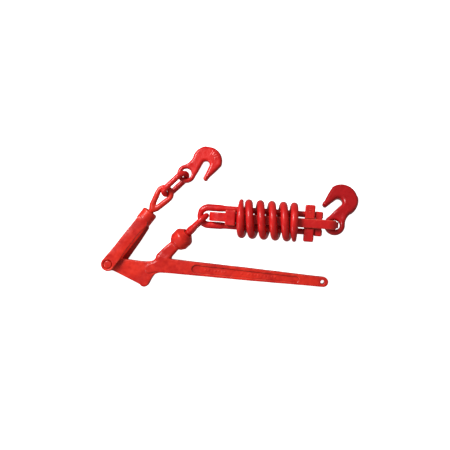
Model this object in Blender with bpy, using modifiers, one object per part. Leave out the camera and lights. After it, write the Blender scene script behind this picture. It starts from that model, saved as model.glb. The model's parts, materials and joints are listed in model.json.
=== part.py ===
"""A lever load binder with a spring draw unit, lying on the ground.

A forged lever carries a yoke on a pin. The yoke's swivel eye holds one chain link and a grab hook. A second
swivel eye, in a ball socket on the lever's arm, holds the draw unit: a round U-shaped rod and a flat strap
link that pull against each other through a coil spring. The strap ends in the second grab hook.

Each moving body has an empty on its joint's axis. Its pieces are modelled in that empty's frame.
"""

from math import acos, asin, atan2, cos, degrees, hypot, pi, radians, sin

import bmesh
import bpy
from mathutils import Matrix, Vector

MM = 0.001

# Where the pieces lie, in millimetres and degrees. The floor is at z = 0.
CENTRE_X, CENTRE_Y = 0.18, 0.04
FLOOR_GAP = 0.4
PIN_X, PIN_Y = -247.6 - CENTRE_X, -98.4 - CENTRE_Y
SPRING_X, SPRING_Y = 80.7 - CENTRE_X, -7.8 - CENTRE_Y
HANDLE_AZIMUTH = -5.6
YOKE_AZIMUTH = 51.6
LINK_AZIMUTH = 42.6
HOOK_CHAIN_AZIMUTH = 66.4
DRAW_AZIMUTH = -4.0
HOOK_SPRING_AZIMUTH = 38.3

# Lever
PLATE_HALF = 11.0
EYE_RADIUS = 14.0
EYE_HALF = 12.5
PIN_RADIUS = 8.0
PIN_HALF = 23.5
PIN_CLEARANCE = 0.35
TIP_X, HANDLE_Y = 441.0, 8.3
TIP_RADIUS = 10.5
TIE_HOLE_RADIUS = 4.0
SOCKET_X, SOCKET_Y = 144.0, 66.1
SOCKET_RADIUS = 21.0
SOCKET_REACH = 21.9  # how far the leaning barrel reaches below its centre
ARM_RADIUS = 13.0
CHANNEL = (172.0, 392.0, 7.5, 2.2)  # start, end, half width, depth
LEVER_TILT = degrees(asin((SOCKET_REACH - PLATE_HALF) / (TIP_X - SOCKET_X)))
PIN_Z = SOCKET_REACH + SOCKET_X * sin(radians(LEVER_TILT)) + FLOOR_GAP

# Yoke
LEG_INNER, LEG_OUTER = 13.2, 22.0
LEG_EYE_RADIUS, LEG_END_HALF = 14.3, 13.6
HEAD_START, HEAD_TOP, HEAD_RADIUS = 110.0, 138.0, 16.3
SHANK_RADIUS, SHANK_HOLE_RADIUS = 6.0, 6.6
BUTTON_RADIUS = 11.0

# Swivel eyes and the chain link
EYE_ROD = 5.5
YOKE_EYE_BOW, YOKE_EYE_CENTRE, YOKE_EYE_APEX = 13.8, 46.4, 15.0
LEVER_EYE_BOW = 14.0
LEVER_EYE_LENGTH = 75.4
APEX_BOW = 6.2
BALL_RADIUS, CAVITY_RADIUS = 11.2, 12.0
NECK_RADIUS, MOUTH_RADIUS = 6.3, 7.3
LINK_ROD, LINK_BOW, LINK_STRAIGHT = 6.0, 16.0, 28.0
LINK_ROLL = 21.0
LINK_SLACK = 1.8
HOOK_SLACK = 3.6

# Grab hook, in its own plane: u runs up the slot, v across it. The two hooks differ a little in size
HOOK_CHAIN_SCALE, HOOK_SPRING_SCALE = 0.96, 1.04
HOOK_HALF, HOOK_EYE_HALF = 10.0, 7.0
HOOK_EYE_RADIUS, HOOK_HOLE_RADIUS = 20.0, 11.0
BOW_U, BOW_V, BOW_RADIUS = 43.5, 31.0, 30.7
HEEL_U, HEEL_V, HEEL_RADIUS = 43.5, 29.6, 31.6
SLOT_U, SLOT_V, SLOT_RADIUS = 34.6, 30.5, 7.8
HOOK_CHAIN_DROP, HOOK_CHAIN_Z = 8.0, 20.5
HOOK_SPRING_DROP, HOOK_SPRING_Z = 18.0, 37.5

# Draw unit, in its own frame: x along the spring
COIL_RADIUS, WIRE_RADIUS = 32.8, 7.7
SPRING_HALF, TURNS = 63.0, 5.45
DRAW_Z = COIL_RADIUS + WIRE_RADIUS + FLOOR_GAP
ROD_RADIUS, ROD_BOW, ROD_BIGHT_X, ROD_END_X = 6.1, 17.4, -120.3, 109.7
STRAP_INNER, STRAP_OUTER, STRAP_HALF = 13.5, 21.5, 9.0
STRAP_LEFT, STRAP_RIGHT, STRAP_NARROW_HALF = -119.1, 141.0, 7.0
KEEPER_LENGTH, KEEPER_HALF_LONG, KEEPER_HALF_SHORT = 20.2, 37.0, 15.6
GROOVE_FLOOR, GROOVE_HALF = 10.8, 9.8
KEEPER_RIGHT_X, KEEPER_LEFT_X = 73.1, -83.6
PLATE_X, PLATE_LENGTH, PLATE_HALF_LONG, PLATE_HALF_SHORT = 93.7, 14.5, 24.8, 10.0
SLIDING_GAP = 0.4
HOOK_SPRING_AT = (133.4, 0.0)

PAINTS = {
    "orange_red_paint": ((0.62, 0.032, 0.014, 1.0), 0.32),
    "red_paint": ((0.58, 0.018, 0.016, 1.0), 0.30),
    "deep_red_paint": ((0.40, 0.012, 0.014, 1.0), 0.30),
}


# ---------------------------------------------------------------- scene and helpers


def clear_scene():
    for obj in list(bpy.data.objects):
        bpy.data.objects.remove(obj, do_unlink=True)


def new_collection(name):
    made = bpy.data.collections.new(name)
    bpy.context.scene.collection.children.link(made)
    return made


def new_paint(name, colour, roughness):
    paint = bpy.data.materials.new(name)
    paint.use_nodes = True
    shader = paint.node_tree.nodes["Principled BSDF"]
    shader.inputs["Base Color"].default_value = colour
    shader.inputs["Roughness"].default_value = roughness
    shader.inputs["Metallic"].default_value = 0.0
    return paint


clear_scene()
PARTS = new_collection("load_binder_chain")
CUTTERS = new_collection("cutters")
PAINT = {name: new_paint(name, *look) for name, look in PAINTS.items()}
WORLD = {}


def shift(x=0.0, y=0.0, z=0.0):
    return Matrix.Translation(Vector((x, y, z)) * MM)


def turn(angle, axis):
    return Matrix.Rotation(radians(angle), 4, axis)


def frame(name, parent, local=None, world=None):
    """An empty on a joint's axis, placed in its parent's frame or, with world, in the world."""
    if parent and world:
        local = WORLD[parent].inverted() @ world
    empty = bpy.data.objects.new(name, None)
    empty.empty_display_size = 0.02
    PARTS.objects.link(empty)
    if parent:
        empty.parent = bpy.data.objects[parent]
    empty.matrix_basis = local
    WORLD[name] = WORLD[parent] @ local if parent else local
    return empty


def place(obj, frame_name, local=None, collection=PARTS):
    obj.parent = bpy.data.objects[frame_name]
    obj.matrix_basis = local or Matrix.Identity(4)
    collection.objects.link(obj)
    return obj


def finish_part(obj, paint, frame_name, local=None):
    obj.data.materials.clear()
    obj.data.materials.append(PAINT[paint])
    place(obj, frame_name, local)
    obj.data.shade_smooth()
    obj.data.set_sharp_from_angle(angle=radians(35))
    return obj


def as_mesh(curve, name):
    """The curve's evaluated shape as a mesh object, with its caps welded on."""
    guide = bpy.data.objects.new(name + "_curve", curve)
    bpy.context.scene.collection.objects.link(guide)
    graph = bpy.context.evaluated_depsgraph_get()
    mesh = bpy.data.meshes.new_from_object(guide.evaluated_get(graph))
    bpy.data.objects.remove(guide, do_unlink=True)
    weld(mesh)
    mesh.name = name
    return bpy.data.objects.new(name, mesh)


def weld(mesh):
    shape = bmesh.new()
    shape.from_mesh(mesh)
    bmesh.ops.remove_doubles(shape, verts=shape.verts, dist=0.001 * MM)
    bmesh.ops.recalc_face_normals(shape, faces=shape.faces)
    shape.to_mesh(mesh)
    shape.free()


def poly_spline(curve, points, closed):
    spline = curve.splines.new("POLY")
    spline.points.add(len(points) - 1)
    for point, at in zip(spline.points, points):
        x, y, z = (*at, 0.0)[:3]
        point.co = (x * MM, y * MM, z * MM, 1.0)
    spline.use_cyclic_u = closed


def plate(name, outlines, half_thickness):
    """A flat outline, with any holes as further outlines, drawn out to both sides of its plane."""
    curve = bpy.data.curves.new(name, "CURVE")
    curve.dimensions = "2D"
    curve.fill_mode = "BOTH"
    curve.extrude = half_thickness * MM
    for points in outlines:
        poly_spline(curve, points, True)
    return as_mesh(curve, name)


def rod(name, points, radius, closed=False, resolution=3):
    """A round bar along a line of points."""
    curve = bpy.data.curves.new(name, "CURVE")
    curve.dimensions = "3D"
    curve.bevel_depth = radius * MM
    curve.bevel_resolution = resolution
    curve.use_fill_caps = not closed
    poly_spline(curve, points, closed)
    return as_mesh(curve, name)


def turned(name, profile, steps=28, closed=False):
    """A profile of (radius, x) points, outer side from high x to low x, turned round the x axis."""
    mesh = bpy.data.meshes.new(name)
    shape = bmesh.new()
    verts = [shape.verts.new((radius * MM, 0.0, x * MM)) for radius, x in profile]
    for first, second in zip(verts, verts[1:] + verts[:1] if closed else verts[1:]):
        shape.edges.new((first, second))
    shape.to_mesh(mesh)
    shape.free()
    obj = bpy.data.objects.new(name + "_profile", mesh)
    screw = obj.modifiers.new("turn", "SCREW")
    screw.axis = "Z"
    screw.steps = screw.render_steps = steps
    screw.use_merge_vertices = True
    screw.merge_threshold = 0.000001
    bpy.context.scene.collection.objects.link(obj)
    graph = bpy.context.evaluated_depsgraph_get()
    solid = bpy.data.meshes.new_from_object(obj.evaluated_get(graph))
    bpy.data.objects.remove(obj, do_unlink=True)
    solid.transform(turn(90, "Y"))
    weld(solid)
    return bpy.data.objects.new(name, solid)


def block(name, low, high):
    mesh = bpy.data.meshes.new(name)
    shape = bmesh.new()
    bmesh.ops.create_cube(shape, size=1.0)
    for vert in shape.verts:
        vert.co = [(a + b) / 2 * MM + c * (b - a) * MM for a, b, c in zip(low, high, vert.co)]
    shape.to_mesh(mesh)
    shape.free()
    return bpy.data.objects.new(name, mesh)


def cylinder(name, radius, low, high, steps=28):
    """A round bar on the x axis."""
    return turned(name, [(0, high), (radius, high), (radius, low), (0, low)], steps)


def bevel(obj, width, segments=2, angle=38):
    rounding = obj.modifiers.new("rounded_edges", "BEVEL")
    rounding.width = width * MM
    rounding.segments = segments
    rounding.limit_method = "ANGLE"
    rounding.angle_limit = radians(angle)
    return obj


def boolean(obj, operation, tool, frame_name, local=None):
    place(tool, frame_name, local, CUTTERS)
    tool.hide_render = True
    tool.display_type = "WIRE"
    step = obj.modifiers.new(operation.lower(), "BOOLEAN")
    step.operation = operation
    step.object = tool
    step.solver = "EXACT"
    return obj


def arc(centre, radius, start, end, steps):
    """Points on a circle, from one angle to another in degrees."""
    angles = [radians(start + (end - start) * n / steps) for n in range(steps + 1)]
    return [(centre[0] + radius * cos(a), centre[1] + radius * sin(a)) for a in angles]


def tangent_lead(distance, big, small):
    """The angle from the centre line to where the belt round two circles leaves them."""
    return degrees(acos((big - small) / distance))


def belt(centre, big, apex, small, steps=10):
    """A pear-shaped loop on the x axis: a big arc at centre and a small one at apex, and their tangents."""
    lead = tangent_lead(centre - apex, big, small)
    lead = 180 - lead
    return arc((centre, 0), big, -lead, lead, 2 * steps) + arc((apex, 0), small, lead, 360 - lead, steps)


def round_eye(name, centre, bow, apex, steps=10):
    return rod(name, belt(centre, bow, apex, APEX_BOW, steps), EYE_ROD, closed=True)


# ---------------------------------------------------------------- frames, one on each joint's axis


def draw_to_world(x, y):
    a = radians(DRAW_AZIMUTH)
    return SPRING_X + x * cos(a) - y * sin(a), SPRING_Y + x * sin(a) + y * cos(a)


def lever_to_world(x, y):
    a, t = radians(HANDLE_AZIMUTH), radians(LEVER_TILT)
    return (
        PIN_X + x * cos(t) * cos(a) - y * sin(a),
        PIN_Y + x * cos(t) * sin(a) + y * cos(a),
        PIN_Z - x * sin(t),
    )


def stem_direction():
    """Azimuth and elevation of the lever's swivel: its bow is concentric with the draw rod's bight."""
    ball_x, ball_y, ball_z = lever_to_world(SOCKET_X, SOCKET_Y)
    crown_x, crown_y = draw_to_world(CROWN_X, 0)
    run = hypot(crown_x - ball_x, crown_y - ball_y)
    elevation = asin((DRAW_Z - ball_z) / (LEVER_EYE_LENGTH - LEVER_EYE_BOW))
    azimuth = degrees(atan2(crown_y - ball_y, crown_x - ball_x))
    return azimuth, degrees(elevation), run


CROWN_X = ROD_BIGHT_X - ROD_BOW + ROD_RADIUS + EYE_ROD + 0.35
STEM_AZIMUTH, STEM_ELEVATION, STEM_RUN = stem_direction()


def make_frames():
    frame("lever_frame", None, shift(PIN_X, PIN_Y, PIN_Z) @ turn(HANDLE_AZIMUTH, "Z") @ turn(LEVER_TILT, "Y"))
    frame("yoke_pivot", "lever_frame", turn(YOKE_AZIMUTH - HANDLE_AZIMUTH, "Z"))
    frame("yoke_swivel", "yoke_pivot", shift(HEAD_TOP))
    crown = WORLD["yoke_swivel"] @ shift(YOKE_EYE_CENTRE + YOKE_EYE_BOW)
    frame("link_swing", "yoke_swivel", world=Matrix.Translation(crown.translation) @ link_turn())
    frame("hook_a_swing", "link_swing", world=hook_chain_place())
    frame("lever_swivel", "lever_frame", world=lever_swivel_place())
    crown_x, crown_y = draw_to_world(CROWN_X, 0)
    loop = shift(crown_x, crown_y, DRAW_Z) @ turn(DRAW_AZIMUTH, "Z")
    frame("loop_swing", "lever_swivel", world=loop)
    frame("draw_unit", "loop_swing", shift(-CROWN_X))
    frame("strap_slide", "draw_unit", Matrix.Identity(4))
    frame("spring_follow", "draw_unit", Matrix.Identity(4))
    frame("hook_b_swing", "strap_slide", world=hook_spring_place())


def lever_swivel_place():
    return shift(*lever_to_world(SOCKET_X, SOCKET_Y)) @ turn(STEM_AZIMUTH, "Z") @ turn(-STEM_ELEVATION, "Y")


def link_turn():
    """The link leans over, and swings in its own plane."""
    return turn(LINK_AZIMUTH, "Z") @ turn(-LINK_ROLL, "X")


def link_place():
    """The link's centre line in the world: its near end hangs on the yoke eye's bow."""
    crown = (WORLD["link_swing"] @ Vector()) / MM
    inward = -(2 * LINK_ROD - 0.5 + LINK_SLACK)
    along = radians(YOKE_AZIMUTH)
    return shift(crown.x + inward * cos(along), crown.y + inward * sin(along), crown.z) @ link_turn()


def hook_chain_place():
    far = (link_place() @ Vector(((LINK_STRAIGHT + 2 * LINK_BOW) * MM, 0, 0))) / MM
    reach = HOOK_HOLE_RADIUS * HOOK_CHAIN_SCALE - LINK_ROD - HOOK_SLACK
    a = radians(LINK_AZIMUTH)
    at = shift(far.x + reach * cos(a), far.y + reach * sin(a), HOOK_CHAIN_Z)
    return at @ turn(HOOK_CHAIN_AZIMUTH, "Z") @ turn(HOOK_CHAIN_DROP, "Y") @ turn(180, "X")


def hook_spring_place():
    """Hangs on the strap, with its bow down on the floor."""
    x, y = draw_to_world(*HOOK_SPRING_AT)
    downhill = degrees(atan2(BOW_V, BOW_U))
    dip = turn(downhill, "Z") @ turn(HOOK_SPRING_DROP, "Y") @ turn(-downhill, "Z")
    return shift(x, y, HOOK_SPRING_Z) @ turn(HOOK_SPRING_AZIMUTH, "Z") @ dip


# ---------------------------------------------------------------- lever, pin and yoke


def lever_outline():
    """The plate's edge, anticlockwise from under the eye."""
    heel = arc((76.0, -29.4), 10.2, -146, -20, 6)
    handle_low = [(92.5, -19.0), (99.0, -10.2), (108.5, -7.0), (138.0, -6.05), (293.0, -4.4), (416.0, -2.1)]
    tip = arc((TIP_X, HANDLE_Y), TIP_RADIUS, -88, 88, 10)
    handle_high = [(416.0, 18.7), (293.0, 21.0), (138.0, 22.7), (127.0, 28.0), (112.0, 36.0), (101.0, 28.0)]
    saddle = [(92.0, 18.6), (82.0, 13.6), (66.0, 12.2), (44.6, 13.0)]
    eye = arc((0, 0), EYE_RADIUS, 84, 300, 16)
    return heel + handle_low + tip + handle_high + saddle + eye


def make_lever():
    lever = bevel(plate("lever", [lever_outline()], PLATE_HALF), 2.4)
    home = "lever_frame"
    upright = turn(90, "Y")
    boss = bevel(cylinder("lever_eye_boss", EYE_RADIUS, -EYE_HALF, EYE_HALF, 32), 1.2)
    boolean(lever, "UNION", boss, home, upright)
    arm_angle = degrees(atan2(SOCKET_Y - 19.2, SOCKET_X - 103.4))
    arm = turned("lever_arm", [(0, 8), (ARM_RADIUS - 1, 8), (ARM_RADIUS, -34), (9.0, -62), (0, -64)], 20)
    boolean(lever, "UNION", arm, home, shift(SOCKET_X, SOCKET_Y) @ turn(arm_angle, "Z"))
    barrel = [(0, 20.2), (13.0, 20.2), (18.4, 14.6), (SOCKET_RADIUS, 6.4), (SOCKET_RADIUS, -6.4), (18, -14.4), (11, -19.6)]
    boolean(lever, "UNION", turned("lever_socket", barrel + [(0, -19.6)], 26), "lever_swivel")
    cavity = [(0, 24), (MOUTH_RADIUS + 3, 24), (MOUTH_RADIUS + 1.4, 19.8), (MOUTH_RADIUS, 17)]
    edge = degrees(asin(MOUTH_RADIUS / CAVITY_RADIUS))
    bowl = [(y, x) for x, y in arc((0, 0), CAVITY_RADIUS, edge, 180, 9)]
    boolean(lever, "DIFFERENCE", turned("socket_cavity", cavity + bowl[:-1] + [(0, -12)], 24), "lever_swivel")
    bore = cylinder("lever_bore", PIN_RADIUS + PIN_CLEARANCE, -30, 30, 32)
    boolean(lever, "DIFFERENCE", bore, home, upright)
    tie_hole = cylinder("tie_hole", TIE_HOLE_RADIUS, -20, 20, 16)
    boolean(lever, "DIFFERENCE", tie_hole, home, shift(TIP_X - 1.5, HANDLE_Y) @ upright)
    start, end, half, depth = CHANNEL
    ends = arc((end - half, HANDLE_Y), half, -90, 90, 6) + arc((start, HANDLE_Y), half, 90, 270, 6)
    for side in (1, -1):
        channel = plate("channel_cutter", [ends], depth)
        boolean(lever, "DIFFERENCE", channel, home, shift(z=side * PLATE_HALF))
    return finish_part(lever, "orange_red_paint", home)


def make_pin():
    pin = bevel(cylinder("hinge_pin", PIN_RADIUS, -PIN_HALF, PIN_HALF, 32), 1.2)
    return finish_part(pin, "orange_red_paint", "yoke_pivot", turn(90, "Y"))


def make_yoke():
    lean = degrees(asin((LEG_EYE_RADIUS - LEG_END_HALF) / HEAD_START))
    eye = arc((0, 0), LEG_EYE_RADIUS, 90 - lean, 270 + lean, 22)
    outline = eye + [(HEAD_START + 3, -LEG_END_HALF), (HEAD_START + 8, 5.8 - LEG_END_HALF), (HEAD_START + 8, LEG_END_HALF - 5.8), (HEAD_START + 3, LEG_END_HALF)]
    half = (LEG_OUTER - LEG_INNER) / 2
    yoke = bevel(plate("yoke", [outline], half), 1.6)
    home = "yoke_pivot"
    middle = (LEG_OUTER + LEG_INNER) / 2
    yoke.data.transform(shift(z=middle))
    boolean(yoke, "UNION", bevel(plate("yoke_low_leg", [outline], half), 1.6), home, shift(z=-middle))
    collar = [(HEAD_RADIUS - 2.6, HEAD_TOP), (HEAD_RADIUS, HEAD_TOP - 4), (HEAD_RADIUS, HEAD_START + 5)]
    bore = [(SHANK_HOLE_RADIUS, HEAD_START), (SHANK_HOLE_RADIUS, HEAD_TOP)]
    head = turned("yoke_head", collar + [(HEAD_RADIUS - 3, HEAD_START)] + bore, 28, closed=True)
    boolean(yoke, "UNION", head, home)
    hole = cylinder("yoke_bore", PIN_RADIUS + PIN_CLEARANCE, -30, 30, 32)
    boolean(yoke, "DIFFERENCE", hole, home, turn(90, "Y"))
    return finish_part(yoke, "orange_red_paint", home)


# ---------------------------------------------------------------- eyes, link and hooks


def make_yoke_eye():
    eye = round_eye("swivel_eye_yoke", YOKE_EYE_CENTRE, YOKE_EYE_BOW, YOKE_EYE_APEX)
    back = HEAD_START - HEAD_TOP
    shank = [(0, 14), (5.0, 14), (SHANK_RADIUS, 6), (SHANK_RADIUS, back - 1.2), (BUTTON_RADIUS, back - 1.6)]
    button = [(BUTTON_RADIUS, back - 7.5), (8.5, back - 9.5), (0, back - 9.5)]
    boolean(eye, "UNION", turned("yoke_eye_shank", shank + button, 20), "yoke_swivel")
    return finish_part(eye, "orange_red_paint", "yoke_swivel")


def make_lever_eye():
    """The eye's loop stands upright, in its frame's xz plane."""
    centre = LEVER_EYE_LENGTH - LEVER_EYE_BOW
    eye = round_eye("swivel_eye_lever", centre, LEVER_EYE_BOW, 36.0)
    eye.data.transform(turn(90, "X"))
    ball_edge = degrees(asin(NECK_RADIUS / BALL_RADIUS))
    ball = [(y, x) for x, y in arc((0, 0), BALL_RADIUS, ball_edge, 180, 8)]
    neck = [(0, 36), (5.2, 36), (NECK_RADIUS, 28)]
    boolean(eye, "UNION", turned("lever_eye_ball", neck + ball[:-1] + [(0, -BALL_RADIUS)], 20), "lever_swivel")
    return finish_part(eye, "red_paint", "lever_swivel")


def make_link():
    far = LINK_BOW + LINK_STRAIGHT
    path = arc((far, 0), LINK_BOW, -90, 90, 10) + arc((LINK_BOW, 0), LINK_BOW, 90, 270, 10)
    link = rod("chain_link", [(x, 0.0, z) for x, z in path], LINK_ROD, closed=True)
    local = WORLD["link_swing"].inverted() @ link_place()
    return finish_part(link, "red_paint", "link_swing", local)


def hook_outline():
    """The hook's edge, anticlockwise: the round eye, the back, the bow, the tip and the slot."""
    neck = [(17.6, -11.2), (21.6, -6.8), (27.4, -3.8)]
    heel = arc((HEEL_U, HEEL_V), HEEL_RADIUS, -104, -30, 9)
    bow = arc((BOW_U, BOW_V), BOW_RADIUS, -20, 86, 11)
    tip_arm = [(39.5, 59.2), (25.0, 53.6), (9.5, 47.2)]
    tip = arc((2.3, 41.4), 4.0, 118, 292, 6)
    inner = [(12.0, 38.3)] + arc((SLOT_U, SLOT_V), SLOT_RADIUS, 90, -90, 10)
    eye = arc((0, 0), HOOK_EYE_RADIUS, 84, 316, 18)
    return eye + neck + heel + bow + tip_arm + tip + inner


def make_hook_mesh():
    """One grab hook as a finished mesh, because both hooks are the same forging."""
    hook = bevel(plate("grab_hook", [hook_outline()], HOOK_HALF), 3.6, segments=3)
    frame("hook_bench", None, Matrix.Identity(4))
    thin = HOOK_EYE_HALF
    relief = [(0, 12), (23.5, 12), (21.4, thin + 1.2), (19.6, thin), (0, thin)]
    for side, facing in (("upper", -90), ("lower", 90)):
        boolean(hook, "DIFFERENCE", turned(side + "_relief", relief, 28), "hook_bench", turn(facing, "Y"))
    rim = [(r, x) for x, r in ((10, 15.5), (7, 14.6), (5.2, 12.6), (2.8, 11.3), (0, HOOK_HOLE_RADIUS))]
    hole = [(0, 10)] + rim + [(r, -x) for r, x in rim[-2::-1]] + [(0, -10)]
    boolean(hook, "DIFFERENCE", turned("hook_hole", hole, 28), "hook_bench", turn(90, "Y"))
    bpy.context.scene.collection.objects.link(hook)
    graph = bpy.context.evaluated_depsgraph_get()
    mesh = bpy.data.meshes.new_from_object(hook.evaluated_get(graph))
    for tool in [step.object for step in hook.modifiers if step.type == "BOOLEAN"]:
        bpy.data.objects.remove(tool, do_unlink=True)
    bpy.data.objects.remove(hook, do_unlink=True)
    bpy.data.objects.remove(bpy.data.objects["hook_bench"], do_unlink=True)
    mesh.name = "grab_hook"
    return mesh


def make_hooks():
    mesh = make_hook_mesh()
    for name, paint, home, size in (
        ("grab_hook_chain", "red_paint", "hook_a_swing", HOOK_CHAIN_SCALE),
        ("grab_hook_spring", "deep_red_paint", "hook_b_swing", HOOK_SPRING_SCALE),
    ):
        sized = mesh.copy()
        sized.transform(Matrix.Scale(size, 4))
        finish_part(bpy.data.objects.new(name, sized), paint, home)


# ---------------------------------------------------------------- draw unit


def spring_rise(turns):
    """How far along its axis the wire's centre is, after so many turns: the end turns are closed."""
    flat, ramp, low = 0.3, 0.45, 8.0
    reach = SPRING_HALF - WIRE_RADIUS
    closed_rise = 2 * WIRE_RADIUS + 0.4
    pitch = 2 * (reach - closed_rise) / (TURNS - 2)
    from_end = min(turns, TURNS - turns)
    rise = low * min(from_end, flat)
    if from_end > flat:
        along = min(from_end - flat, ramp)
        rise += low * along + (pitch - low) * along**2 / (2 * ramp)
    if from_end > flat + ramp:
        rise += pitch * (from_end - flat - ramp)
    return rise


def make_spring():
    steps = 20
    count = int(TURNS * steps)
    reach = SPRING_HALF - WIRE_RADIUS
    middle = spring_rise(TURNS / 2)
    path = []
    for n in range(count + 1):
        turns = TURNS * n / count
        rise = spring_rise(turns) * reach / middle
        x = rise - reach if turns <= TURNS / 2 else reach - rise
        angle = 2 * pi * (turns + 0.03)
        path.append((x, COIL_RADIUS * cos(angle), COIL_RADIUS * sin(angle)))
    spring = rod("compression_spring", path, WIRE_RADIUS, resolution=3)
    return finish_part(spring, "red_paint", "spring_follow")


def make_draw_rod():
    bight = arc((ROD_BIGHT_X, 0), ROD_BOW, 90, 270, 16)
    path = [(ROD_END_X, ROD_BOW)] + bight + [(ROD_END_X, -ROD_BOW)]
    return finish_part(rod("draw_rod", path, ROD_RADIUS, resolution=4), "red_paint", "draw_unit")


def make_strap():
    """A closed loop of flat bar, bent in its frame's xz plane."""
    loops = []
    for radius in (STRAP_OUTER, STRAP_INNER):
        right = arc((STRAP_RIGHT - STRAP_OUTER, 0), radius, -90, 90, 14)
        loops.append(right + arc((STRAP_LEFT + STRAP_OUTER, 0), radius, 90, 270, 14))
    strap = plate("draw_strap", loops, STRAP_HALF)
    strap.data.transform(turn(90, "X"))
    start = STRAP_RIGHT - STRAP_OUTER - 4
    for side in (1, -1):
        near, far = sorted((side * STRAP_NARROW_HALF, side * (STRAP_HALF + 2)))
        shoulder = block("strap_shoulder", (start, near, -30), (STRAP_RIGHT + 5, far, 30))
        boolean(strap, "DIFFERENCE", shoulder, "strap_slide")
    return finish_part(bevel(strap, 1.2), "red_paint", "strap_slide")


def make_keeper(name, x, home, upright, holes):
    """A cross bar with a groove across each broad face. It stands on end if upright is set."""
    size = (KEEPER_HALF_LONG, KEEPER_HALF_SHORT)
    bar = bevel(block(name, (x, -size[0], -size[1]), (x + KEEPER_LENGTH, size[0], size[1])), 2.0)
    for side in (1, -1):
        low, high = sorted((side * GROOVE_FLOOR, side * 20))
        groove = block("groove", (x - 5, -GROOVE_HALF, low), (x + KEEPER_LENGTH + 5, GROOVE_HALF, high))
        boolean(bar, "DIFFERENCE", groove, home, turn(90 if upright else 0, "X"))
    if upright:
        bar.data.transform(turn(90, "X"))
    for tool, local in holes:
        boolean(bar, "DIFFERENCE", tool, home, local)
    return finish_part(bar, "red_paint", home)


def rod_holes(x, length):
    radius = ROD_RADIUS + SLIDING_GAP
    return [
        (cylinder("rod_hole", radius, x - 5, x + length + 5, 20), shift(y=side * ROD_BOW))
        for side in (1, -1)
    ]


def strap_slot(x):
    """Room for both flats of the strap, round a web whose near end is rounded to seat the strap's bend."""
    start, end = x - 5, x + KEEPER_LENGTH + 5
    web, outside = STRAP_INNER - SLIDING_GAP, STRAP_OUTER + SLIDING_GAP
    seat = arc((x + web, 0), web, 270, 90, 12)
    outline = [(start, -outside), (end, -outside), (end, -web)] + seat
    outline += [(end, web), (end, outside), (start, outside)]
    tool = plate("strap_slot", [outline], STRAP_HALF + SLIDING_GAP)
    tool.data.transform(turn(90, "X"))
    return [(tool, None)]


def make_end_plate():
    low = (PLATE_X, -PLATE_HALF_LONG, -PLATE_HALF_SHORT)
    high = (PLATE_X + PLATE_LENGTH, PLATE_HALF_LONG, PLATE_HALF_SHORT)
    end_plate = bevel(block("end_plate_right", low, high), 1.6)
    for tool, local in rod_holes(PLATE_X, PLATE_LENGTH):
        boolean(end_plate, "DIFFERENCE", tool, "draw_unit", local)
    return finish_part(end_plate, "red_paint", "draw_unit")


def make_draw_unit():
    make_draw_rod()
    make_strap()
    make_spring()
    right_holes = rod_holes(KEEPER_RIGHT_X, KEEPER_LENGTH)
    make_keeper("keeper_bar_right", KEEPER_RIGHT_X, "draw_unit", False, right_holes)
    make_keeper("keeper_bar_left", KEEPER_LEFT_X, "spring_follow", True, strap_slot(KEEPER_LEFT_X))
    make_end_plate()


def main():
    make_frames()
    make_lever()
    make_pin()
    make_yoke()
    make_yoke_eye()
    make_lever_eye()
    make_link()
    make_hooks()
    make_draw_unit()


main()
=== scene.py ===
"""Looks for the lever load binder: every forging is built again round the CAD frame, with its real fillets.

Each piece is a field, which says how far a point is from the piece's surface. Fields are joined with soft
blends, as a forging's fillets are, and surface() makes a mesh on the field's zero level. All fields work in
millimetres, in the frame of the joint that the piece hangs on, so a piece goes where the CAD says.
"""

import json
from itertools import combinations
from math import asin, atan2, cos, degrees, hypot, pi, radians, sin, sqrt

import bmesh
import bpy
import numpy as np
from mathutils import Matrix, Vector


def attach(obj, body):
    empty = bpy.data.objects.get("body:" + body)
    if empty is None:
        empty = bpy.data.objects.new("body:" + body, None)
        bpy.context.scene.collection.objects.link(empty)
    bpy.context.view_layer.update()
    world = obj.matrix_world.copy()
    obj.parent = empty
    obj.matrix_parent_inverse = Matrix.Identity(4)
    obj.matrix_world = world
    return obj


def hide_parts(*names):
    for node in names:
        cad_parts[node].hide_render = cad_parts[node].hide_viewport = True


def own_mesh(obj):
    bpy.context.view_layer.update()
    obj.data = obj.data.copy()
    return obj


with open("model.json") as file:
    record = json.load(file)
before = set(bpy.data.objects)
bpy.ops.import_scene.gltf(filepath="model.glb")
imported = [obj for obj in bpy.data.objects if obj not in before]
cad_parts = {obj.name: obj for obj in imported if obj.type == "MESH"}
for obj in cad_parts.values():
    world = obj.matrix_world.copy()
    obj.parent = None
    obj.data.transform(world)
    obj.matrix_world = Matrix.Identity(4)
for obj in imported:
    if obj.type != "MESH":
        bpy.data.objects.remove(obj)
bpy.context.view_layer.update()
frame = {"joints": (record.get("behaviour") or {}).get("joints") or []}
JOINTS = {joint["name"]: joint for joint in frame["joints"]}
MM = 0.001

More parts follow.
